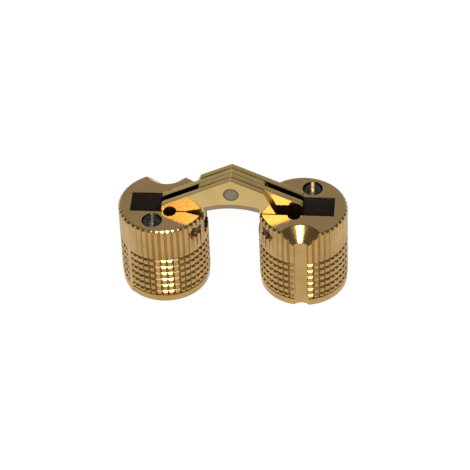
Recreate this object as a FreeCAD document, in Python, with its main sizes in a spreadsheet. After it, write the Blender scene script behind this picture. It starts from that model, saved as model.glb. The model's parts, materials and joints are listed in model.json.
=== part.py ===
import FreeCAD, Part
import Sketcher
import math
import os

# Invisible barrel hinge: two knurled barrels joined by four scissor links, shown open flat.
# Millimetres, +Z up. The origin is on the floor, midway between the two barrels.
# Each barrel has its own frame: x runs from its axis towards the other barrel, z is up from its foot.

doc = FreeCAD.newDocument("barrel_hinge")
sheet = doc.addObject("Spreadsheet::Sheet", "Sizes")

SIZES = [
    # turned barrel
    ("barrel_radius", 7.0),
    ("barrel_height", 14.9),
    ("centre_distance", 21.96),
    ("top_chamfer", 0.35),
    ("collar_step", 0.1),
    ("collar_height", 1.2),
    # knurl
    ("rib_count", 44),
    ("knurl_depth", 0.35),
    ("rib_groove_width", 0.52),
    ("ring_count", 6),
    ("ring_top", 8.65),
    ("ring_pitch", 1.3),
    ("ring_groove_width", 0.62),
    # slot for the links
    ("slot_rim", 2.1),
    ("well_undercut", 0.7),
    ("well_sill", 2.2),
    ("well_floor", 1.2),
    ("well_heel_rise", 2.7),
    ("well_step_depth", 5.2),
    ("mouth_depth", 4.95),
    ("mouth_sill_depth", 3.9),
    # links
    ("leaf_thickness", 1.0),
    ("leaf_gap", 0.04),
    ("roof_slope", 26.2),
    ("apex_height", 6.6),
    ("short_reach", 5.0),
    ("steep_angle", 25.6),
    ("steep_length", 4.9),
    ("arch_height", 0.85),
    ("arch_end_height", 0.05),
    ("pin_room", 0.75),
    ("end_round", 0.7),
    # pins and their places
    ("centre_pin_radius", 1.05),
    ("centre_pin_height", 3.75),
    ("pivot_pin_radius", 0.75),
    ("pivot_rim", 1.5),
    ("pivot_depth", 2.2),
    ("pivot_pin_length", 5.4),
    ("pivot_boss_wall", 0.4),
    ("slide_pin_radius", 0.75),
    ("slide_setback", 4.25),
    ("slide_depth", 4.6),
    ("slide_pin_length", 5.2),
    ("slide_boss_wall", 0.6),
    ("track_depth", 1.0),
    ("track_clearance", 0.35),
    ("way_clearance", 0.2),
    ("link_turn", 115.0),
    ("pin_well_radius", 1.0),
    ("press_clearance", 0.01),
    ("running_clearance", 0.04),
    # clamp screw
    ("screw_radius", 1.55),
    ("screw_length", 3.9),
    ("screw_inset", 1.3),
    ("screw_rim", 2.8),
    ("screw_sink", 0.25),
    ("screw_slot_width", 0.6),
    ("screw_slot_depth", 0.9),
    ("screw_chamfer", 0.2),
    ("screw_hole_clearance", 0.02),
    # groove for the fixing screw
    ("groove_radius", 1.6),
    ("groove_standoff", 0.9),
    ("countersink_radius", 3.65),
]
for row, (alias, number) in enumerate(SIZES, start=1):
    sheet.set("A%d" % row, alias)
    sheet.set("B%d" % row, str(number))
    sheet.setAlias("B%d" % row, alias)
doc.recompute()

# Lengths that several pieces share, worked out from the sheet
HALF_SLOT = "(2 * Sizes.leaf_thickness + 2.5 * Sizes.leaf_gap)"
HALF_SPAN = "(Sizes.centre_distance / 2)"
COLLAR = "(Sizes.barrel_radius - Sizes.collar_step)"
HALF_RIB = "(180 / Sizes.rib_count)"
PIVOT_INSET = "(Sizes.barrel_radius - Sizes.pivot_rim)"
SLIDE_INSET = "(%s - Sizes.slide_setback)" % PIVOT_INSET
SCREW_OFFSET = "(Sizes.barrel_radius - Sizes.screw_rim)"
GROOVE_OFFSET = "(Sizes.barrel_radius + Sizes.groove_standoff)"
PIVOT_X = "(%s - %s)" % (HALF_SPAN, PIVOT_INSET)
PIVOT_DROP = "(Sizes.centre_pin_height + Sizes.pivot_depth)"
SLIDE_X = "(%s - %s)" % (HALF_SPAN, SLIDE_INSET)
SLIDE_DROP = "(Sizes.centre_pin_height + Sizes.slide_depth)"
APEX_RISE = "(Sizes.apex_height - Sizes.centre_pin_height)"
PIVOT_BOSS = "(Sizes.pivot_pin_radius + Sizes.pivot_boss_wall)"
SLIDE_BOSS = "(Sizes.slide_pin_radius + Sizes.slide_boss_wall)"
NOTCH = "(Sizes.pivot_pin_radius + Sizes.pin_room)"
PIVOT_Z = "(Sizes.barrel_height - Sizes.pivot_depth)"
SLIDE_Z = "(Sizes.barrel_height - Sizes.slide_depth)"
CENTRE_Z = "(Sizes.barrel_height + Sizes.centre_pin_height)"
TRACK_REACH = "(%s + Sizes.track_depth)" % HALF_SLOT
# Cutting tools stand this far past the faces they cut through
OVERSHOOT = 1.0
# Shares of the closing movement that the slide track's arc passes through
TRACK_SHARES = (0.1, 0.6, 1.0)

START = 1
END = 2
CENTRE = 3


def value(expression):
    return float(sheet.evalExpression(expression))


def vector(expressions):
    return FreeCAD.Vector(value(expressions[0]), value(expressions[1]), 0)


def origin_item(body, role):
    return [item for item in body.Origin.OriginFeatures if item.Role == role][0]


def new_sketch(body, name, plane_role):
    sketch = body.newObject("Sketcher::SketchObject", name)
    sketch.AttachmentSupport = [(origin_item(body, plane_role), "")]
    sketch.MapMode = "FlatFace"
    return sketch


def constrain(sketch, kind, geometry, point, expression):
    """Adds one dimension to a sketch and ties it to the sheet."""
    number = value(expression)
    if point is None:
        index = sketch.addConstraint(Sketcher.Constraint(kind, geometry, number))
    else:
        index = sketch.addConstraint(Sketcher.Constraint(kind, geometry, point, number))
    sketch.setExpression("Constraints[%d]" % index, expression)


def pin_point(sketch, geometry, point, place):
    constrain(sketch, "DistanceX", geometry, point, place[0])
    constrain(sketch, "DistanceY", geometry, point, place[1])


def add_polygon(sketch, corners):
    """Adds a closed outline of straight lines, with every corner tied to the sheet."""
    first = sketch.GeometryCount
    count = len(corners)
    for index, corner in enumerate(corners):
        following = corners[(index + 1) % count]
        sketch.addGeometry(Part.LineSegment(vector(corner), vector(following)), False)
    for index, corner in enumerate(corners):
        line = first + index
        before = first + (index - 1) % count
        sketch.addConstraint(Sketcher.Constraint("Coincident", line, START, before, END))
        pin_point(sketch, line, START, corner)


def polygon(body, name, plane_role, corners):
    sketch = new_sketch(body, name, plane_role)
    add_polygon(sketch, corners)
    return sketch


def circle(sketch, place, radius):
    geometry = sketch.addGeometry(
        Part.Circle(vector(place), FreeCAD.Vector(0, 0, 1), value(radius)), False)
    pin_point(sketch, geometry, CENTRE, place)
    constrain(sketch, "Radius", geometry, None, radius)


def revolve(body, name, sketch, axis_role):
    feature = body.newObject("PartDesign::Revolution", name)
    feature.Profile = sketch
    feature.ReferenceAxis = (origin_item(body, axis_role), [""])
    feature.Angle = 360
    return feature


def through_pocket(body, name, sketch, width):
    """A pocket cut to both sides of its sketch, width across in all."""
    pocket = body.newObject("PartDesign::Pocket", name)
    pocket.Profile = sketch
    pocket.Midplane = True
    pocket.setExpression("Length", width)
    return pocket


def ribbed_blank(body):
    """The barrel above its collar before it is cut: one flat land for each rib, and a bevelled rim."""
    face = "Sizes.barrel_height"
    wall = body.newObject("PartDesign::AdditivePrism", "wall")
    wall.AttachmentSupport = [(origin_item(body, "XY_Plane"), "")]
    wall.MapMode = "FlatFace"
    wall.setExpression("AttachmentOffset.Base.z", "Sizes.collar_height")
    wall.setExpression("Polygon", "Sizes.rib_count")
    wall.setExpression("Circumradius", "Sizes.barrel_radius / cos(%s)" % HALF_RIB)
    wall.setExpression("Height", face + " - Sizes.collar_height")
    doc.recompute()
    rim = []
    for index, edge in enumerate(wall.Shape.Edges, start=1):
        if edge.BoundBox.ZMin > value(face) - 1e-3:
            rim.append("Edge%d" % index)
    bevel = body.newObject("PartDesign::Chamfer", "rim_bevel")
    bevel.Base = (wall, rim)
    bevel.setExpression("Size", "Sizes.top_chamfer")
    body.Tip = bevel
    doc.recompute()


def knurl(body):
    """Upright V grooves between the lands, and rings that cut the lower ribs into rows of teeth."""
    outside = "Sizes.barrel_radius + %s" % OVERSHOOT
    root = "(Sizes.barrel_radius - Sizes.knurl_depth)"
    flare = "(1 + %s / Sizes.knurl_depth)" % OVERSHOOT
    half_rib = "Sizes.rib_groove_width / 2 * " + flare
    rib_section = polygon(body, "rib_section", "XY_Plane", [
        (root, "0"), (outside, half_rib), (outside, "-" + half_rib)])
    rib_groove = body.newObject("PartDesign::Pocket", "rib_groove")
    rib_groove.Profile = rib_section
    rib_groove.Reversed = True
    rib_groove.setExpression("Length", "Sizes.barrel_height + %s" % OVERSHOOT)
    doc.recompute()
    # The rings meet the ribs' grooves at the same depth, so the teeth come to clean corners
    half_ring = "Sizes.ring_groove_width / 2 * " + flare
    ring_section = new_sketch(body, "ring_section", "XZ_Plane")
    ring_section.AttachmentOffset.Rotation.Axis = FreeCAD.Vector(0, 1, 0)
    ring_section.setExpression("AttachmentOffset.Rotation.Angle", HALF_RIB)
    ring_root = "%s * cos(%s)" % (root, HALF_RIB)
    heights = ["Sizes.collar_height"]
    for step in range(int(value("Sizes.ring_count"))):
        heights.append("Sizes.ring_top - %d * Sizes.ring_pitch" % step)
    for height in heights:
        add_polygon(ring_section, [
            (ring_root, height),
            (outside, "%s - %s" % (height, half_ring)),
            (outside, "%s + %s" % (height, half_ring)),
        ])
    ring_grooves = through_pocket(body, "ring_grooves", ring_section,
                                  "2.2 * Sizes.barrel_radius * tan(%s)" % HALF_RIB)
    doc.recompute()
    teeth = body.newObject("PartDesign::PolarPattern", "teeth")
    teeth.Originals = [rib_groove, ring_grooves]
    teeth.Axis = (origin_item(body, "Z_Axis"), [""])
    teeth.Angle = 360
    teeth.setExpression("Occurrences", "Sizes.rib_count")
    body.Tip = teeth
    doc.recompute()


def foot_collar(body):
    """The plain round band below the teeth."""
    profile = polygon(body, "collar_profile", "XZ_Plane", [
        ("0", "0"),
        (COLLAR, "0"),
        (COLLAR, "Sizes.collar_height"),
        ("0", "Sizes.collar_height"),
    ])
    body.Tip = revolve(body, "collar", profile, "Z_Axis")
    doc.recompute()


def link_slot(body):
    """The slot that the links fold into: a deep well, and a mouth open to the inner side."""
    face = "Sizes.barrel_height"
    above = "%s + %s" % (face, OVERSHOOT)
    beyond = "Sizes.barrel_radius + %s" % OVERSHOOT
    far = "(Sizes.slot_rim - Sizes.barrel_radius)"
    undercut = far + " - Sizes.well_undercut"
    near = PIVOT_INSET + " - Sizes.well_sill"
    section = polygon(body, "slot_section", "XZ_Plane", [
        (far, above),
        (far, face),
        (undercut, face + " - Sizes.well_step_depth"),
        (undercut, "Sizes.well_floor + Sizes.well_heel_rise"),
        ("-Sizes.slide_pin_radius", "Sizes.well_floor"),
        (near, "Sizes.well_floor"),
        (near, face + " - Sizes.mouth_depth"),
        (PIVOT_INSET, face + " - Sizes.mouth_depth"),
        (beyond, face + " - Sizes.mouth_sill_depth"),
        (beyond, above),
    ])
    body.Tip = through_pocket(body, "slot", section, "2 * " + HALF_SLOT)


def slide_pin_place(share):
    """The slide pin's axis in the barrel's frame when the hinge is closed by a share of 0 to 1."""
    pivot_x = value(PIVOT_INSET)
    pivot_z = value(PIVOT_Z)
    arm_x = value(PIVOT_X)
    arm_z = value(PIVOT_DROP)
    arm = math.hypot(arm_x, arm_z)
    near_turn = math.radians(value("Sizes.link_turn")) * share
    far_turn = math.pi * share - near_turn
    heading = math.atan2(arm_z, arm_x) + near_turn
    centre_x = pivot_x + arm * math.cos(heading)
    centre_z = pivot_z + arm * math.sin(heading)
    reach_x = -value(SLIDE_X)
    reach_z = -value(SLIDE_DROP)
    x = centre_x + reach_x * math.cos(far_turn) - reach_z * math.sin(far_turn)
    z = centre_z + reach_x * math.sin(far_turn) + reach_z * math.cos(far_turn)
    return FreeCAD.Vector(x, 0, z)


def track_tool(name):
    """The room cut for the slide pin's ends: an arc along its travel, and a way in from the face."""
    reach = value(TRACK_REACH)
    half = value("Sizes.slide_pin_radius + Sizes.track_clearance")
    across = FreeCAD.Vector(0, 1, 0)
    open_place = slide_pin_place(0.0)
    stations = [slide_pin_place(share) for share in TRACK_SHARES]
    hub = Part.Arc(*stations).toShape().Curve.Center

    def beside(place, step):
        return place + (place - hub).normalize() * step

    def side(step):
        return Part.Arc(*[beside(place, step) for place in stations]).toShape()

    def cap(place, inland):
        along = (place - hub).cross(across).normalize() * half
        if along.dot(inland - place) > 0:
            along = along * -1
        return Part.Arc(beside(place, half), place + along, beside(place, -half)).toShape()

    edges = [side(half), cap(stations[2], stations[1]), side(-half), cap(stations[0], stations[1])]
    outline = Part.Wire(Part.__sortEdges__(edges))
    travel = Part.Face(outline).extrude(across * (2 * reach))
    travel.translate(across * -reach)
    rest = Part.makeCylinder(half, 2 * reach, open_place - across * reach, across)

    way_half = value("Sizes.slide_pin_radius + Sizes.way_clearance")
    way_end = reach - way_half

    def corner(x, y):
        return open_place + FreeCAD.Vector(x, y, 0)

    way_edges = [
        Part.LineSegment(corner(-way_half, -way_end), corner(-way_half, way_end)).toShape(),
        Part.Arc(corner(-way_half, way_end), corner(0, reach), corner(way_half, way_end)).toShape(),
        Part.LineSegment(corner(way_half, way_end), corner(way_half, -way_end)).toShape(),
        Part.Arc(corner(way_half, -way_end), corner(0, -reach), corner(-way_half, -way_end)).toShape(),
    ]
    way_height = value("Sizes.slide_depth") + OVERSHOOT
    way_in = Part.Face(Part.Wire(way_edges)).extrude(FreeCAD.Vector(0, 0, way_height))
    tool = doc.addObject("Part::Feature", name)
    tool.Shape = travel.fuse([rest, way_in])
    return tool


def upright_cylinder(name, radius, height, place):
    tool = doc.addObject("Part::Cylinder", name)
    tool.setExpression("Radius", radius)
    tool.setExpression("Height", height)
    for letter, expression in zip("xyz", place):
        tool.setExpression("Placement.Base." + letter, expression)
    return tool


def cross_cylinder(name, radius, length, start_y):
    """A cylinder along y at the pivot pin's place."""
    tool = upright_cylinder(name, radius, length, (PIVOT_INSET, start_y, PIVOT_Z))
    tool.Placement.Rotation = FreeCAD.Rotation(FreeCAD.Vector(1, 0, 0), -90)
    return tool


def barrel_tools(side):
    """Everything that is cut from a barrel after it is turned, knurled and slotted."""
    face = "Sizes.barrel_height"
    pin_half = "Sizes.pivot_pin_length / 2"
    well_length = "Sizes.barrel_radius - %s" % pin_half
    drill = cross_cylinder(
        side + "_pin_drill", "Sizes.pivot_pin_radius + Sizes.press_clearance",
        "2 * Sizes.barrel_radius", "-Sizes.barrel_radius")
    front_well = cross_cylinder(side + "_pin_front_well", "Sizes.pin_well_radius", well_length,
                                "-Sizes.barrel_radius")
    back_well = cross_cylinder(side + "_pin_back_well", "Sizes.pin_well_radius", well_length, pin_half)
    screw_depth = "(Sizes.screw_sink + Sizes.screw_length)"
    screw_hole = upright_cylinder(
        side + "_screw_drill", "Sizes.screw_radius + Sizes.screw_hole_clearance",
        "%s + %s" % (screw_depth, OVERSHOOT),
        ("-Sizes.screw_inset", "-" + SCREW_OFFSET, "%s - %s" % (face, screw_depth)))
    groove = upright_cylinder(
        side + "_groove_cutter", "Sizes.groove_radius", "%s + %s" % (face, 2 * OVERSHOOT),
        ("0", GROOVE_OFFSET, str(-OVERSHOOT)))
    sink = doc.addObject("Part::Cone", side + "_countersink_cutter")
    sink_depth = "(Sizes.countersink_radius - Sizes.groove_radius)"
    sink.setExpression("Radius1", "Sizes.groove_radius")
    sink.setExpression("Radius2", "Sizes.countersink_radius + %s" % OVERSHOOT)
    sink.setExpression("Height", "%s + %s" % (sink_depth, OVERSHOOT))
    sink.setExpression("Placement.Base.y", GROOVE_OFFSET)
    sink.setExpression("Placement.Base.z", "%s - %s" % (face, sink_depth))
    return [track_tool(side + "_track_cutter"), drill, front_well, back_well, screw_hole, groove, sink]


def set_place(item, side, place, turn=None):
    """Puts a piece in the hinge by its barrel frame: the right side is the left one turned half round."""
    sign = -1 if side == "left" else 1
    x, y, z = (value(expression) for expression in place)
    spin = FreeCAD.Rotation(FreeCAD.Vector(0, 0, 1), 0 if side == "left" else 180)
    shift = FreeCAD.Vector(sign * value(HALF_SPAN), 0, 0)
    own = FreeCAD.Placement(FreeCAD.Vector(x, y, z), turn or FreeCAD.Rotation())
    item.Placement = FreeCAD.Placement(shift, spin).multiply(own)


def make_barrel(side):
    body = doc.addObject("PartDesign::Body", side + "_blank")
    ribbed_blank(body)
    knurl(body)
    foot_collar(body)
    link_slot(body)
    doc.recompute()
    tools = doc.addObject("Part::MultiFuse", side + "_cutters")
    tools.Shapes = barrel_tools(side)
    barrel = doc.addObject("Part::Cut", side + "_barrel")
    barrel.Base = body
    barrel.Tool = tools
    barrel.Label = side + "_barrel"
    set_place(barrel, side, ("0", "0", "0"))
    return barrel


def link_outline(body, mirrored):
    """The leaf seen from the front, about the centre pin. Set A reaches left; set B is its mirror image."""
    flip = "-1 * " if mirrored else "1 * "

    def at(x, y):
        return (flip + "(" + x + ")", y)

    pivot_low = "-1 * " + PIVOT_DROP
    slide_low = "-1 * " + SLIDE_DROP
    roof = "tan(Sizes.roof_slope)"
    long_end = "(%s + %s)" % (SLIDE_X, SLIDE_BOSS)
    arch_end = "Sizes.arch_end_height - Sizes.centre_pin_height"
    arch_half = "(%s - %s)" % (PIVOT_X, PIVOT_BOSS)
    arch_rise = "(Sizes.arch_height - Sizes.arch_end_height)"
    arch_radius = "(%s ^ 2 + %s ^ 2) / (2 * %s)" % (arch_half, arch_rise, arch_rise)
    short_drop = "%s - Sizes.short_reach * %s" % (APEX_RISE, roof)
    apex = at("0", APEX_RISE)
    short_corner = at("Sizes.short_reach", short_drop)
    shoulder = at("Sizes.short_reach + Sizes.steep_length * sin(Sizes.steep_angle)",
                  "%s - Sizes.steep_length * cos(Sizes.steep_angle)" % short_drop)
    pivot = at(PIVOT_X, pivot_low)
    pivot_outer = at("%s + %s" % (PIVOT_X, PIVOT_BOSS), pivot_low)
    pivot_bottom = at(PIVOT_X, "%s - %s" % (pivot_low, PIVOT_BOSS))
    pivot_inner = at(arch_half, pivot_low)
    arch_near = at(arch_half, arch_end)
    arch_top = at("0", "Sizes.arch_height - Sizes.centre_pin_height")
    arch_far = at("-1 * " + arch_half, arch_end)
    other_pivot = at("-1 * " + PIVOT_X, pivot_low)
    notch_top = at("-1 * " + PIVOT_X, "%s + %s" % (pivot_low, NOTCH))
    notch_middle = at("-1 * (%s + %s * cos(45))" % (PIVOT_X, NOTCH),
                      "%s + %s * sin(45)" % (pivot_low, NOTCH))
    notch_end = at("-1 * (%s + %s)" % (PIVOT_X, NOTCH), pivot_low)
    slide = at("-1 * " + SLIDE_X, slide_low)
    slide_inner = at("-1 * (%s - %s)" % (SLIDE_X, SLIDE_BOSS), slide_low)
    slide_bottom = at("-1 * " + SLIDE_X, "%s - %s" % (slide_low, SLIDE_BOSS))
    slide_outer = at("-1 * " + long_end, slide_low)
    long_corner = at("-1 * " + long_end, "%s - %s * %s" % (APEX_RISE, long_end, roof))

    sketch = new_sketch(body, "leaf_outline", "XZ_Plane")

    def line(start, finish):
        return sketch.addGeometry(Part.LineSegment(vector(start), vector(finish)), False)

    def arc(start, middle, finish):
        curve = Part.Arc(vector(start), vector(middle), vector(finish))
        return sketch.addGeometry(curve, False)

    roof_short = line(apex, short_corner)
    steep = line(short_corner, shoulder)
    cheek = line(shoulder, pivot_outer)
    pivot_round = arc(pivot_outer, pivot_bottom, pivot_inner)
    rise = line(pivot_inner, arch_near)
    arch = arc(arch_near, arch_top, arch_far)
    lead = line(arch_far, notch_top)
    notch = arc(notch_top, notch_middle, notch_end)
    leg = line(notch_end, slide_inner)
    slide_round = arc(slide_inner, slide_bottom, slide_outer)
    blunt = line(slide_outer, long_corner)
    roof_long = line(long_corner, apex)

    # An arc that runs clockwise is stored the other way round, so its first point is its end
    clockwise = (END, START)
    anticlockwise = (START, END)
    ends = {}
    for edge in (roof_short, steep, cheek, rise, lead, leg, blunt, roof_long):
        ends[edge] = anticlockwise
    for edge in (pivot_round, slide_round):
        ends[edge] = anticlockwise if mirrored else clockwise
    for edge in (arch, notch):
        ends[edge] = clockwise if mirrored else anticlockwise
    loop = [roof_short, steep, cheek, pivot_round, rise, arch,
            lead, notch, leg, slide_round, blunt, roof_long]
    for edge, following in zip(loop, loop[1:] + loop[:1]):
        sketch.addConstraint(Sketcher.Constraint(
            "Coincident", edge, ends[edge][1], following, ends[following][0]))

    for edge, corner in ((roof_short, apex), (steep, short_corner), (cheek, shoulder),
                         (arch, arch_near), (lead, arch_far), (roof_long, long_corner)):
        pin_point(sketch, edge, ends[edge][0], corner)
    constrain(sketch, "Radius", arch, None, arch_radius)
    for edge, hub, radius in ((pivot_round, pivot, PIVOT_BOSS), (notch, other_pivot, NOTCH),
                              (slide_round, slide, SLIDE_BOSS)):
        pin_point(sketch, edge, CENTRE, hub)
        constrain(sketch, "Radius", edge, None, radius)
    for edge, place in ((pivot_round, pivot_outer), (rise, pivot_inner), (leg, notch_end),
                        (slide_round, slide_inner), (blunt, slide_outer)):
        constrain(sketch, "DistanceY", edge, ends[edge][0], place[1])
    constrain(sketch, "DistanceX", notch, ends[notch][0], notch_top[0])
    return sketch, pivot, slide, long_corner


def make_leaf(number):
    """One link leaf. Odd leaves are set A, which holds the centre pin; even leaves are set B."""
    mirrored = number % 2 == 0
    label = "link_leaf_%d" % number
    body = doc.addObject("PartDesign::Body", label)
    body.Label = label
    sketch, pivot, slide, long_corner = link_outline(body, mirrored)
    centre_clearance = "Sizes.running_clearance" if mirrored else "Sizes.press_clearance"
    circle(sketch, ("0", "0"), "Sizes.centre_pin_radius + " + centre_clearance)
    circle(sketch, pivot, "Sizes.pivot_pin_radius + Sizes.running_clearance")
    circle(sketch, slide, "Sizes.slide_pin_radius + Sizes.press_clearance")
    pad = body.newObject("PartDesign::Pad", "plate")
    pad.Profile = sketch
    pad.Midplane = True
    pad.setExpression("Length", "Sizes.leaf_thickness")
    body.Tip = pad
    doc.recompute()
    corner = vector(long_corner)
    edges = []
    for index, edge in enumerate(pad.Shape.Edges, start=1):
        middle = edge.CenterOfMass
        if abs(middle.x - corner.x) < 1e-3 and abs(middle.z - corner.y) < 1e-3:
            edges.append("Edge%d" % index)
    blend = body.newObject("PartDesign::Fillet", "end_round")
    blend.Base = (pad, edges)
    blend.setExpression("Radius", "Sizes.end_round")
    body.Tip = blend
    layer = value("(%d - 2.5) * (Sizes.leaf_thickness + Sizes.leaf_gap)" % number)
    body.Placement.Base = FreeCAD.Vector(0, layer, value(CENTRE_Z))
    return body


def make_pin(label, radius, length):
    """A plain round pin along its own z."""
    body = doc.addObject("PartDesign::Body", label)
    body.Label = label
    half = "(%s) / 2" % length
    low = "-1 * " + half
    profile = polygon(body, "pin_profile", "XZ_Plane", [
        ("0", low), (radius, low), (radius, half), ("0", half)])
    body.Tip = revolve(body, "pin", profile, "Z_Axis")
    return body


def make_screw(side):
    """The slotted grub screw that clamps a barrel in its hole. Its top is at its own z = 0."""
    label = side + "_clamp_screw"
    body = doc.addObject("PartDesign::Body", label)
    body.Label = label
    radius = "Sizes.screw_radius"
    bottom = "-1 * Sizes.screw_length"
    profile = polygon(body, "screw_profile", "XZ_Plane", [
        ("0", "0"),
        (radius + " - Sizes.screw_chamfer", "0"),
        (radius, "-1 * Sizes.screw_chamfer"),
        (radius, bottom),
        ("0", bottom),
    ])
    revolve(body, "shank", profile, "Z_Axis")
    doc.recompute()
    half = "Sizes.screw_slot_width / 2"
    section = polygon(body, "slot_section", "XZ_Plane", [
        ("-1 * " + half, "-1 * Sizes.screw_slot_depth"),
        (half, "-1 * Sizes.screw_slot_depth"),
        (half, str(OVERSHOOT)),
        ("-1 * " + half, str(OVERSHOOT)),
    ])
    body.Tip = through_pocket(body, "driver_slot", section, "2 * Sizes.screw_radius + %s" % OVERSHOOT)
    return body


ALONG_Y = FreeCAD.Rotation(FreeCAD.Vector(1, 0, 0), 90)
pieces = []
for side in ("left", "right"):
    pieces.append(make_barrel(side))
    pivot_pin = make_pin(side + "_pivot_pin", "Sizes.pivot_pin_radius", "Sizes.pivot_pin_length")
    set_place(pivot_pin, side, (PIVOT_INSET, "0", PIVOT_Z), ALONG_Y)
    slide_pin = make_pin(side + "_slide_pin", "Sizes.slide_pin_radius", "Sizes.slide_pin_length")
    set_place(slide_pin, side, (SLIDE_INSET, "0", SLIDE_Z), ALONG_Y)
    screw = make_screw(side)
    set_place(screw, side, ("-Sizes.screw_inset", "-" + SCREW_OFFSET,
                            "Sizes.barrel_height - Sizes.screw_sink"))
    pieces += [pivot_pin, slide_pin, screw]
pieces += [make_leaf(number) for number in (1, 2, 3, 4)]
stack = "4 * Sizes.leaf_thickness + 3 * Sizes.leaf_gap"
centre_pin = make_pin("centre_pin", "Sizes.centre_pin_radius", stack)
centre_pin.Placement = FreeCAD.Placement(FreeCAD.Vector(0, 0, value(CENTRE_Z)), ALONG_Y)
pieces.append(centre_pin)

doc.recompute()
for item in doc.Objects:
    if "Invalid" in item.State or "Error" in item.State:
        raise RuntimeError("%s did not build: %s" % (item.Label, item.State))
for piece in pieces:
    if piece.Shape.isNull() or not piece.Shape.isValid() or len(piece.Shape.Solids) != 1:
        raise RuntimeError("%s is not one valid solid" % piece.Label)

os.makedirs("parts", exist_ok=True)
for piece in pieces:
    piece.Shape.exportStep(os.path.join("parts", piece.Label + ".step"))
    print("%-20s %9.3f mm3" % (piece.Label, piece.Shape.Volume))
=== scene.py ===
import bmesh
import bpy
import json
import math
from mathutils import Matrix, Vector


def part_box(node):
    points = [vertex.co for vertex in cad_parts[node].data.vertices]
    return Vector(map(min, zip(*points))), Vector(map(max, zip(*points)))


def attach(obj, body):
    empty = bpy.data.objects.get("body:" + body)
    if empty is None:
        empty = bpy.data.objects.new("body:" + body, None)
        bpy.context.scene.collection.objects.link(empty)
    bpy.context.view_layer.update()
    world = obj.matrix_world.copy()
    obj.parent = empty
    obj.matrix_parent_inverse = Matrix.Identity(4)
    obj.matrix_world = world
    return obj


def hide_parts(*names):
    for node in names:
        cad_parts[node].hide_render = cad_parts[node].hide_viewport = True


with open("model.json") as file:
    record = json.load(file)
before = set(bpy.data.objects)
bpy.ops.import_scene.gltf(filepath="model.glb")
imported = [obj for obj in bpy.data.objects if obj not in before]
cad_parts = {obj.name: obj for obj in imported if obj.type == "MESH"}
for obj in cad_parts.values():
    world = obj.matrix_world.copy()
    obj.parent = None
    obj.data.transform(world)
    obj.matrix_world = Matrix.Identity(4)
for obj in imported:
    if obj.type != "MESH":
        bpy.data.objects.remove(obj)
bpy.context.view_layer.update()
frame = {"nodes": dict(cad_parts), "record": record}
scene = bpy.context.scene
scene.view_settings.view_transform = "Standard"

# Lengths are in metres, and the sizes of details are written in millimetres
MM = 0.001

# A place on a barrel is given by how far it lies from the axis towards the other barrel (inward) and
# towards the barrel's own fixing groove (aside)
left_low, left_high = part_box("left_barrel")
BARREL_X = abs(left_low.x + left_high.x) / 2
FACE_Z = left_high.z
BARREL_R = 7.0 * MM
COLLAR_TOP_Z = 1.2 * MM
TEETH_TOP_Z = 8.9 * MM
GROOVE_ASIDE = 7.9 * MM
GROOVE_R = 1.6 * MM
# The knurl lies outside CORE_R, and the openings in the face lie within OPENINGS_R
CORE_R = 6.55 * MM
OPENINGS_R = 6.5 * MM
# The slot and its tracks reach this far to the front and to the back
TRACKS_HALF = 3.2 * MM

# The leaves lie side by side, and the arch under them is part of one circle
LEAF_PITCH = 1.04 * MM
ARCH_HALF = 4.33 * MM
ARCH_HEIGHT = 0.85 * MM
ARCH_R = 12.12 * MM
ARCH_HUB_Z = FACE_Z + ARCH_HEIGHT - ARCH_R
pin_low, pin_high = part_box("centre_pin")
PIN_Z = (pin_low.z + pin_high.z) / 2
PIN_R = (pin_high.z - pin_low.z) / 2

# How far edges are rounded, in millimetres
FOOT_ROUNDING = 0.1
OPENING_ROUNDING = 0.12
TOOTH_ROUNDING = 0.09
BARREL_ROUNDING = 0.045
FRONT_ROUNDING = 0.12
TIGHT_ROUNDING = 0.05
ROLLED_ROUNDING = 0.17
SCREW_ROUNDING = 0.05
PIN_ROUNDING = 0.06

# Faces within the flat angle are joined. Edges are rounded from the sharp angle on, and shaded as part of a
# smooth surface up to the soft angle.
FLAT_ANGLE = math.radians(0.5)
SHARP_ANGLE = math.radians(22)
SOFT_ANGLE = math.radians(28)

# Points closer than WELD are one point, and points closer than NEAR to a level lie on it
WELD = 0.0005 * MM
NEAR = 0.01 * MM


def new_material(name):
    """A material with a Principled shader and nothing else."""
    material = bpy.data.materials.new(name)
    material.use_nodes = True
    tree = material.node_tree
    tree.nodes.clear()
    output = tree.nodes.new("ShaderNodeOutputMaterial")
    shader = tree.nodes.new("ShaderNodeBsdfPrincipled")
    tree.links.new(shader.outputs["BSDF"], output.inputs["Surface"])
    return material, tree, shader


def calculate(tree, operation, *values):
    """A math node; each value is a number or another node's output."""
    node = tree.nodes.new("ShaderNodeMath")
    node.operation = operation
    for socket, value in zip(node.inputs, values):
        if isinstance(value, (int, float)):
            socket.default_value = value
        else:
            tree.links.new(value, socket)
    return node.outputs[0]


def product(tree, first, *others):
    """All the values multiplied together."""
    for other in others:
        first = calculate(tree, "MULTIPLY", first, other)
    return first


def magnitude(tree, value):
    return calculate(tree, "ABSOLUTE", value)


def length(tree, first, second):
    """The length of a vector with the two given parts."""
    squares = [product(tree, part, part) for part in (first, second)]
    return calculate(tree, "SQRT", calculate(tree, "ADD", *squares))


def position(tree):
    """The place on a piece, which is its place in the open hinge however the piece has moved."""
    return tree.nodes.new("ShaderNodeTexCoord").outputs["Object"]


def split(tree, vector):
    """A vector's x, y and z."""
    node = tree.nodes.new("ShaderNodeSeparateXYZ")
    tree.links.new(vector, node.inputs[0])
    return node.outputs


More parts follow.
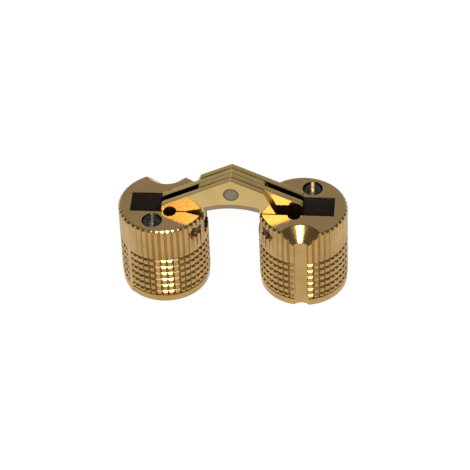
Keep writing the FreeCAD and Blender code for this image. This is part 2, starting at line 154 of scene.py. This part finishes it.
def noise(tree, coords, size, detail, stretch=(1.0, 1.0, 1.0)):
    """Noise with features of about the given size in millimetres, drawn out along an axis by stretch."""
    mapping = tree.nodes.new("ShaderNodeMapping")
    mapping.inputs["Scale"].default_value = [1 / (size * MM * factor) for factor in stretch]
    tree.links.new(coords, mapping.inputs["Vector"])
    node = tree.nodes.new("ShaderNodeTexNoise")
    node.inputs["Scale"].default_value = 1.0
    node.inputs["Detail"].default_value = detail
    tree.links.new(mapping.outputs[0], node.inputs["Vector"])
    return node.outputs["Fac"]


def span(tree, value, low, high):
    """Spreads a noise value, which mostly lies between 0.3 and 0.7, over a range of numbers."""
    node = tree.nodes.new("ShaderNodeMapRange")
    node.inputs["From Min"].default_value = 0.3
    node.inputs["From Max"].default_value = 0.7
    node.inputs["To Min"].default_value = low
    node.inputs["To Max"].default_value = high
    tree.links.new(value, node.inputs["Value"])
    return node.outputs[0]


def step(tree, value, start, end):
    """Rises smoothly from 0 to 1 as the value goes from start to end, up or down."""
    node = tree.nodes.new("ShaderNodeMapRange")
    node.interpolation_type = "SMOOTHSTEP"
    node.inputs["From Min"].default_value = start
    node.inputs["From Max"].default_value = end
    tree.links.new(value, node.inputs["Value"])
    return node.outputs[0]


def ramp(tree, value, stops):
    """A colour that runs through the stops, each a place and a colour, as the value rises."""
    node = tree.nodes.new("ShaderNodeValToRGB")
    elements = node.color_ramp.elements
    while len(elements) < len(stops):
        elements.new(0.5)
    for element, (place, colour) in zip(elements, stops):
        element.position = place
        element.color = (*colour, 1.0)
    tree.links.new(value, node.inputs[0])
    return node.outputs[0]


def blend(tree, share, first, second):
    """A colour that goes from the first to the second as the share goes from 0 to 1."""
    node = tree.nodes.new("ShaderNodeMix")
    node.data_type = "RGBA"
    tree.links.new(share, node.inputs[0])
    for socket, colour in ((node.inputs[6], first), (node.inputs[7], second)):
        if isinstance(colour, tuple):
            socket.default_value = (*colour, 1.0)
        else:
            tree.links.new(colour, socket)
    return node.outputs[2]


def bump(tree, shader, height, depth, under=None):
    """Relief of the given depth in millimetres, laid over other relief if there is any."""
    node = tree.nodes.new("ShaderNodeBump")
    node.inputs["Distance"].default_value = depth * MM
    tree.links.new(height, node.inputs["Height"])
    if under is not None:
        tree.links.new(under, node.inputs["Normal"])
    tree.links.new(node.outputs[0], shader.inputs["Normal"])
    return node.outputs[0]


def make_metal(tree, shader, tone, roughness):
    """Turns a shader into bare metal with the given tone and roughness."""
    tree.links.new(tone, shader.inputs["Base Color"])
    tree.links.new(roughness, shader.inputs["Roughness"])
    shader.inputs["Metallic"].default_value = 1.0


def barrel_brass():
    """Turned satin brass, with tarnish and painted shade in its knurl's grooves, painted light in the upper
    ribs' grooves, and a smoother face that shows turning rings and is painted darker as shade.
    """
    dark_tone, mid_tone, light_tone = (0.45, 0.282, 0.105), (0.50, 0.318, 0.12), (0.55, 0.355, 0.138)
    tarnish_and_shade, painted_groove_light, painted_shade_tone = (0.13, 0.068, 0.02), (0.82, 0.64, 0.37), (0.32, 0.216, 0.096)
    slot_inside_tone = (0.3, 0.235, 0.205)
    tarnish_and_shade_share, painted_groove_light_share, painted_shade_share = 0.06, 0.42, 0.8
    slot_rougher, face_rougher = 0.25, -0.09
    ring_pitch, ring_share = 0.11 * MM, 0.08

    material, tree, shader = new_material("barrel_brass")
    coords = position(tree)
    x, y, z = split(tree, coords)
    inward = calculate(tree, "SUBTRACT", BARREL_X, magnitude(tree, x))
    aside = product(tree, calculate(tree, "SIGN", x), y, -1.0)
    radius = length(tree, inward, y)
    from_groove = length(tree, inward, calculate(tree, "SUBTRACT", aside, GROOVE_ASIDE))
    patches = noise(tree, coords, size=3.5, detail=3.0)
    tone = ramp(tree, patches, [(0.32, dark_tone), (0.5, mid_tone), (0.68, light_tone)])

    # The knurl's grooves have a trace of tarnish and painted shade between the teeth, and painted light between
    # the ribs above them
    sunk = step(tree, calculate(tree, "SUBTRACT", BARREL_R, radius), 0.05 * MM, 0.3 * MM)
    sunk = product(tree, sunk, calculate(tree, "GREATER_THAN", from_groove, GROOVE_R + 0.06 * MM),
                   calculate(tree, "GREATER_THAN", radius, CORE_R))
    above_collar = step(tree, z, COLLAR_TOP_Z + 0.1 * MM, COLLAR_TOP_Z + 0.8 * MM)
    above_teeth = step(tree, z, TEETH_TOP_Z - 0.1 * MM, TEETH_TOP_Z + 0.1 * MM)
    tone = blend(tree, product(tree, sunk, above_collar, tarnish_and_shade_share), tone, tarnish_and_shade)
    # Painted light fills the grooves between the upper ribs
    tone = blend(tree, product(tree, sunk, above_teeth, painted_groove_light_share), tone, painted_groove_light)

    # The face is painted darker, as shade
    on_face = calculate(tree, "GREATER_THAN", z, FACE_Z - 0.05 * MM)
    tone = blend(tree, product(tree, on_face, painted_shade_share), tone, painted_shade_tone)
    # Inside the slot and the wedge the brass is painted greyer and darker
    in_slot = product(tree, calculate(tree, "LESS_THAN", radius, CORE_R),
                      calculate(tree, "LESS_THAN", magnitude(tree, y), TRACKS_HALF),
                      calculate(tree, "LESS_THAN", z, FACE_Z - 0.2 * MM),
                      calculate(tree, "GREATER_THAN", z, 0.2 * MM))
    tone = blend(tree, in_slot, tone, slot_inside_tone)

    grain = noise(tree, coords, size=0.22, detail=3.0)
    roughness = span(tree, grain, low=0.2, high=0.3)
    roughness = calculate(tree, "ADD", roughness, product(tree, in_slot, slot_rougher))
    roughness = calculate(tree, "ADD", roughness, product(tree, on_face, face_rougher))
    make_metal(tree, shader, tone, roughness)
    rings = calculate(tree, "SINE", product(tree, radius, 2 * math.pi / ring_pitch))
    relief = calculate(tree, "ADD", product(tree, rings, ring_share, on_face), grain)
    bump(tree, shader, relief, depth=0.003)
    return material


def leaf_brass():
    """Polished stamped brass with faint long polishing marks, and a band along the arch edge that is bumped
    into a downward slope and painted grey as shade.
    """
    dark_tone, light_tone = (0.56, 0.395, 0.15), (0.64, 0.455, 0.178)
    painted_shade_tone, joint_dark = (0.27, 0.205, 0.15), (0.1, 0.075, 0.045)
    painted_shade_share, joint_share = 0.9, 0.8
    band_full, band_end = ARCH_R + 0.78 * MM, ARCH_R + 0.92 * MM
    joint_full, joint_end = PIN_R + 0.13 * MM, PIN_R + 0.26 * MM

    material, tree, shader = new_material("leaf_brass")
    coords = position(tree)
    x, _, z = split(tree, coords)
    patches = noise(tree, coords, size=5.0, detail=2.0)
    tone = ramp(tree, patches, [(0.35, dark_tone), (0.65, light_tone)])
    # The band along the arch edge is painted grey as shade, standing for the shaded floor that its sloping edge
    # mirrors
    from_hub = length(tree, x, calculate(tree, "SUBTRACT", z, ARCH_HUB_Z))
    shaded_rolled_band = product(tree, step(tree, from_hub, band_end, band_full),
                     calculate(tree, "LESS_THAN", magnitude(tree, x), ARCH_HALF))
    tone = blend(tree, product(tree, shaded_rolled_band, painted_shade_share), tone, painted_shade_tone)
    # A dark joint shows round the centre pin
    from_pin = length(tree, x, calculate(tree, "SUBTRACT", z, PIN_Z))
    joint = step(tree, from_pin, joint_end, joint_full)
    tone = blend(tree, product(tree, joint, joint_share), tone, joint_dark)

    marks = noise(tree, coords, size=0.06, detail=3.0, stretch=(40.0, 1.0, 6.0))
    make_metal(tree, shader, tone, span(tree, marks, low=0.09, high=0.16))
    roll_relief = bump(tree, shader, product(tree, shaded_rolled_band, -1.0), depth=0.05)
    bump(tree, shader, marks, depth=0.0012, under=roll_relief)
    return material


def pin_steel():
    """Ground steel."""
    dark_tone, light_tone = (0.19, 0.17, 0.135), (0.29, 0.26, 0.205)

    material, tree, shader = new_material("pin_steel")
    grain = noise(tree, position(tree), size=0.12, detail=3.0)
    tone = ramp(tree, grain, [(0.35, dark_tone), (0.65, light_tone)])
    make_metal(tree, shader, tone, span(tree, grain, low=0.3, high=0.45))
    bump(tree, shader, grain, depth=0.005)
    return material


def screw_steel():
    """Blackened steel, worn a little paler in patches and more so in the driver's slot."""
    black, worn, slot_tone = (0.022, 0.024, 0.019), (0.06, 0.063, 0.052), (0.25, 0.26, 0.215)

    material, tree, shader = new_material("screw_steel")
    coords = position(tree)
    z = split(tree, coords)[2]
    patches = noise(tree, coords, size=0.5, detail=4.0)
    tone = ramp(tree, patches, [(0.4, black), (0.62, worn)])
    in_slot = calculate(tree, "LESS_THAN", z, FACE_Z - 0.5 * MM)
    tone = blend(tree, in_slot, tone, slot_tone)
    grain = noise(tree, coords, size=0.1, detail=2.0)
    make_metal(tree, shader, tone, span(tree, grain, low=0.16, high=0.3))
    bump(tree, shader, grain, depth=0.003)
    return material


def off_axis(place):
    """How far a place on a barrel lies from the barrel's axis."""
    return math.hypot(abs(place.x) - BARREL_X, place.y)


def barrel_rounding(edge):
    """How far a barrel's edge is rounded. The ridges down the sides of the teeth stay sharp."""
    heights = [vert.co.z for vert in edge.verts]
    if max(heights) < NEAR:
        return FOOT_ROUNDING
    middle = (edge.verts[0].co + edge.verts[1].co) / 2
    if min(heights) > FACE_Z - NEAR and off_axis(middle) < OPENINGS_R:
        return OPENING_ROUNDING
    inmost = min(off_axis(vert.co) for vert in edge.verts)
    between_ends = min(heights) > COLLAR_TOP_Z + 0.05 * MM and max(heights) < FACE_Z - 0.3 * MM
    if between_ends and inmost > CORE_R:
        return TOOTH_ROUNDING if inmost > BARREL_R - 0.05 * MM else 0.0
    return BARREL_ROUNDING


def leaf_rounding(edge):
    """How far a leaf's edge is rounded: most at the back of leaves 1 and 3 and the front of 2 and 4."""
    middle = (edge.verts[0].co + edge.verts[1].co) / 2
    side = round(middle.y / LEAF_PITCH)
    if side == -2:
        return FRONT_ROUNDING
    return TIGHT_ROUNDING if side in (0, 2) else ROLLED_ROUNDING


def join_rings(shape, rings):
    """Joins rings of vertices into one closed shape with flat ends."""
    for first, second in zip(rings, rings[1:]):
        for k in range(len(first)):
            shape.faces.new((first[k - 1], first[k], second[k], second[k - 1]))
    shape.faces.new(rings[0])
    shape.faces.new(rings[-1])
    bmesh.ops.recalc_face_normals(shape, faces=shape.faces)


def mouth_wedge(node):
    """The shallow wedge that widens a slot's mouth towards the rim, on the side away from the fixing groove."""
    # Inward, aside and depth below the face, in millimetres
    corners = ((3.69, -1.9, 0.3), (7.4, -1.9, 1.3), (7.4, -3.29, 1.3), (3.69, -2.1, 0.3))
    low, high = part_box(node)
    hub = (low.x + high.x) / 2
    side = -math.copysign(1.0, hub)
    shape = bmesh.new()
    tops, floors = [], []
    for inward, aside, depth in corners:
        x, y = hub + side * inward * MM, side * aside * MM
        tops.append(shape.verts.new((x, y, FACE_Z + 0.5 * MM)))
        floors.append(shape.verts.new((x, y, FACE_Z - depth * MM)))
    join_rings(shape, [tops, floors])
    return shape


def carve(shape, cutter):
    """Takes the cutter's volume out of a shape."""
    pieces = []
    for name, source in (("blank", shape), ("cutter", cutter)):
        mesh = bpy.data.meshes.new(name)
        source.to_mesh(mesh)
        source.free()
        piece = bpy.data.objects.new(name, mesh)
        scene.collection.objects.link(piece)
        pieces.append(piece)
    cut = pieces[0].modifiers.new("cut", "BOOLEAN")
    cut.operation = "DIFFERENCE"
    cut.solver = "EXACT"
    cut.object = pieces[1]
    carved = bmesh.new()
    carved.from_object(pieces[0], bpy.context.evaluated_depsgraph_get())
    for piece in pieces:
        mesh = piece.data
        bpy.data.objects.remove(piece)
        bpy.data.meshes.remove(mesh)
    return carved


def round_edges(shape, rounding):
    """Rounds off the sharp outer edges, each as far as rounding says, the widest first."""
    width_of = shape.edges.layers.float.new("width")
    for edge in shape.edges:
        if len(edge.link_faces) == 2 and edge.calc_face_angle_signed() > SHARP_ANGLE:
            edge[width_of] = rounding(edge)
    for width in sorted({round(edge[width_of], 3) for edge in shape.edges} - {0.0}, reverse=True):
        sharp = [edge for edge in shape.edges if abs(edge[width_of] - width) < 0.001]
        bmesh.ops.bevel(shape, geom=sharp, offset=width * MM, segments=2, profile=0.5, affect="EDGES",
                        clamp_overlap=False)


def stand(shape, name, material):
    """Makes an object of a shape, smooth but for its sharp edges."""
    for edge in shape.edges:
        edge.smooth = len(edge.link_faces) == 2 and edge.calc_face_angle() < SOFT_ANGLE
    for face in shape.faces:
        face.smooth = True
    mesh = bpy.data.meshes.new(name)
    shape.to_mesh(mesh)
    shape.free()
    mesh.materials.append(material)
    piece = bpy.data.objects.new(name, mesh)
    scene.collection.objects.link(piece)
    return piece


def dress(node, body, material, rounding, cutter=None):
    """Stands a copy of a CAD piece in its place, with its sharp outer edges rounded off."""
    shape = bmesh.new()
    shape.from_mesh(frame["nodes"][node].data)
    bmesh.ops.remove_doubles(shape, verts=shape.verts, dist=WELD)
    if cutter is not None:
        shape = carve(shape, cutter)
    bmesh.ops.dissolve_limit(shape, angle_limit=FLAT_ANGLE, verts=shape.verts, edges=shape.edges)
    round_edges(shape, rounding)
    # Corners that the rounding pushed out come back into the CAD piece's box
    low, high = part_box(node)
    for vert in shape.verts:
        for axis in range(3):
            vert.co[axis] = min(max(vert.co[axis], low[axis]), high[axis])
    piece = stand(shape, node + "_looks", material)
    weighting = piece.modifiers.new("even_shading", "WEIGHTED_NORMAL")
    weighting.keep_sharp = True
    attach(piece, body)
    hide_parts(node)


def add_seam(node, body, material):
    """The plain upright strip on a barrel where its knurl starts and ends."""
    first_angle, last_angle, parts = -51.7, -44.2, 6
    strip_r = BARREL_R - 0.03 * MM
    section = ((CORE_R, 0.05 * MM), (strip_r, 0.05 * MM), (strip_r, FACE_Z - 0.55 * MM),
               (CORE_R, FACE_Z - 0.35 * MM))
    low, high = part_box(node)
    hub = (low.x + high.x) / 2
    turn = 0.0 if hub < 0 else math.pi
    shape = bmesh.new()
    rings = []
    for part in range(parts + 1):
        angle = math.radians(first_angle + (last_angle - first_angle) * part / parts) + turn
        rings.append([shape.verts.new((hub + radius * math.sin(angle), -radius * math.cos(angle), height))
                      for radius, height in section])
    join_rings(shape, rings)
    piece = stand(shape, node + "_seam", material)
    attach(piece, body)


def add_floor():
    """A floor that takes shadows, and looks white to the eye and as mirrored in the metal."""
    eye_share, metal_share = 0.85, 0.7
    bpy.ops.mesh.primitive_circle_add(vertices=96, radius=1.2, fill_type="NGON", location=(0, 0, 0))
    floor = bpy.context.object
    floor.name = "floor"
    material = bpy.data.materials.new("floor_white")
    material.use_nodes = True
    tree = material.node_tree
    tree.nodes.clear()
    output = tree.nodes.new("ShaderNodeOutputMaterial")
    matt = tree.nodes.new("ShaderNodeBsdfDiffuse")
    matt.inputs["Color"].default_value = (0.9, 0.9, 0.9, 1.0)
    glow = tree.nodes.new("ShaderNodeEmission")
    glow.inputs["Color"].default_value = (1.0, 1.0, 1.0, 1.0)
    glow.inputs["Strength"].default_value = 1.1
    path = tree.nodes.new("ShaderNodeLightPath").outputs
    mirrored = calculate(tree, "MAXIMUM", path["Is Glossy Ray"], path["Is Transmission Ray"])
    seen = calculate(tree, "ADD", product(tree, path["Is Camera Ray"], eye_share),
                     product(tree, mirrored, metal_share))
    mix = tree.nodes.new("ShaderNodeMixShader")
    tree.links.new(seen, mix.inputs[0])
    tree.links.new(matt.outputs[0], mix.inputs[1])
    tree.links.new(glow.outputs[0], mix.inputs[2])
    tree.links.new(mix.outputs[0], output.inputs["Surface"])
    floor.data.materials.append(material)


def add_world():
    """A dim room with one pale wall behind the object, a little to the left."""
    dim, pale = (0.13, 0.13, 0.12), (0.66, 0.66, 0.66)
    wall_x, wall_half, room_half = -0.07, 0.37, 0.82
    world = bpy.data.worlds.new("room")
    scene.world = world
    world.use_nodes = True
    tree = world.node_tree
    tree.nodes.clear()
    output = tree.nodes.new("ShaderNodeOutputWorld")
    background = tree.nodes.new("ShaderNodeBackground")
    x, y, _ = split(tree, tree.nodes.new("ShaderNodeTexCoord").outputs["Generated"])
    behind = step(tree, y, -0.1, 0.4)
    narrow = step(tree, magnitude(tree, calculate(tree, "SUBTRACT", x, wall_x)), room_half, wall_half)
    shade = blend(tree, product(tree, behind, narrow), dim, pale)
    tree.links.new(shade, background.inputs["Color"])
    background.inputs["Strength"].default_value = 1.0
    tree.links.new(background.outputs[0], output.inputs["Surface"])


def sight_line(azimuth, elevation):
    """The direction from the object to a place round it. Azimuth 0 is the front."""
    a, e = math.radians(azimuth), math.radians(elevation)
    return Vector((math.sin(a) * math.cos(e), -math.cos(a) * math.cos(e), math.sin(e)))


def add_lamp(name, towards, distance, size, watts):
    """A round lamp that shines on the object from the given direction."""
    light = bpy.data.lights.new(name, "AREA")
    light.shape = "DISK"
    light.size = size
    light.energy = watts
    lamp = bpy.data.objects.new(name, light)
    lamp.location = towards * distance
    lamp.rotation_euler = towards.to_track_quat("Z", "Y").to_euler()
    scene.collection.objects.link(lamp)


def add_camera(azimuth, elevation, roll, distance, aim, moved, focal):
    """A camera that looks at aim, tilted by roll and then moved across and up in its picture's plane."""
    back = sight_line(azimuth, elevation)
    right = Vector((math.cos(math.radians(azimuth)), math.sin(math.radians(azimuth)), 0.0))
    up = back.cross(right)
    turn = math.radians(roll)
    across = right * math.cos(turn) + up * math.sin(turn)
    upward = up * math.cos(turn) - right * math.sin(turn)
    data = bpy.data.cameras.new("camera")
    data.sensor_width = 36.0
    data.lens = focal
    data.clip_start = 0.01
    camera = bpy.data.objects.new("camera", data)
    place = aim + back * distance + across * moved[0] + upward * moved[1]
    facing = Matrix((across, upward, back)).transposed().to_4x4()
    camera.matrix_world = Matrix.Translation(place) @ facing
    scene.collection.objects.link(camera)
    scene.camera = camera


brass = barrel_brass()
polished = leaf_brass()
steel = pin_steel()
black_steel = screw_steel()
for body, nodes in frame["record"]["behaviour"]["bodies"].items():
    for node in nodes:
        if node.endswith("_barrel"):
            dress(node, body, brass, barrel_rounding, mouth_wedge(node))
            add_seam(node, body, brass)
        elif node.startswith("link_leaf"):
            dress(node, body, polished, leaf_rounding)
        elif node.endswith("_screw"):
            dress(node, body, black_steel, lambda edge: SCREW_ROUNDING)
        else:
            dress(node, body, steel, lambda edge: PIN_ROUNDING)

add_floor()
add_world()
# A flash and the reflector round it stand just above the camera
from_flash = sight_line(azimuth=6.5, elevation=49.0)
add_lamp("flash", from_flash, distance=0.42, size=0.06, watts=0.22)
add_lamp("reflector", from_flash, distance=0.43, size=0.2, watts=0.8)
add_camera(azimuth=6.094, elevation=42.933, roll=-2.447, distance=0.4, aim=Vector((0.0, 0.0, 8.95 * MM)),
           moved=(0.19 * MM, -0.477 * MM), focal=194.3)
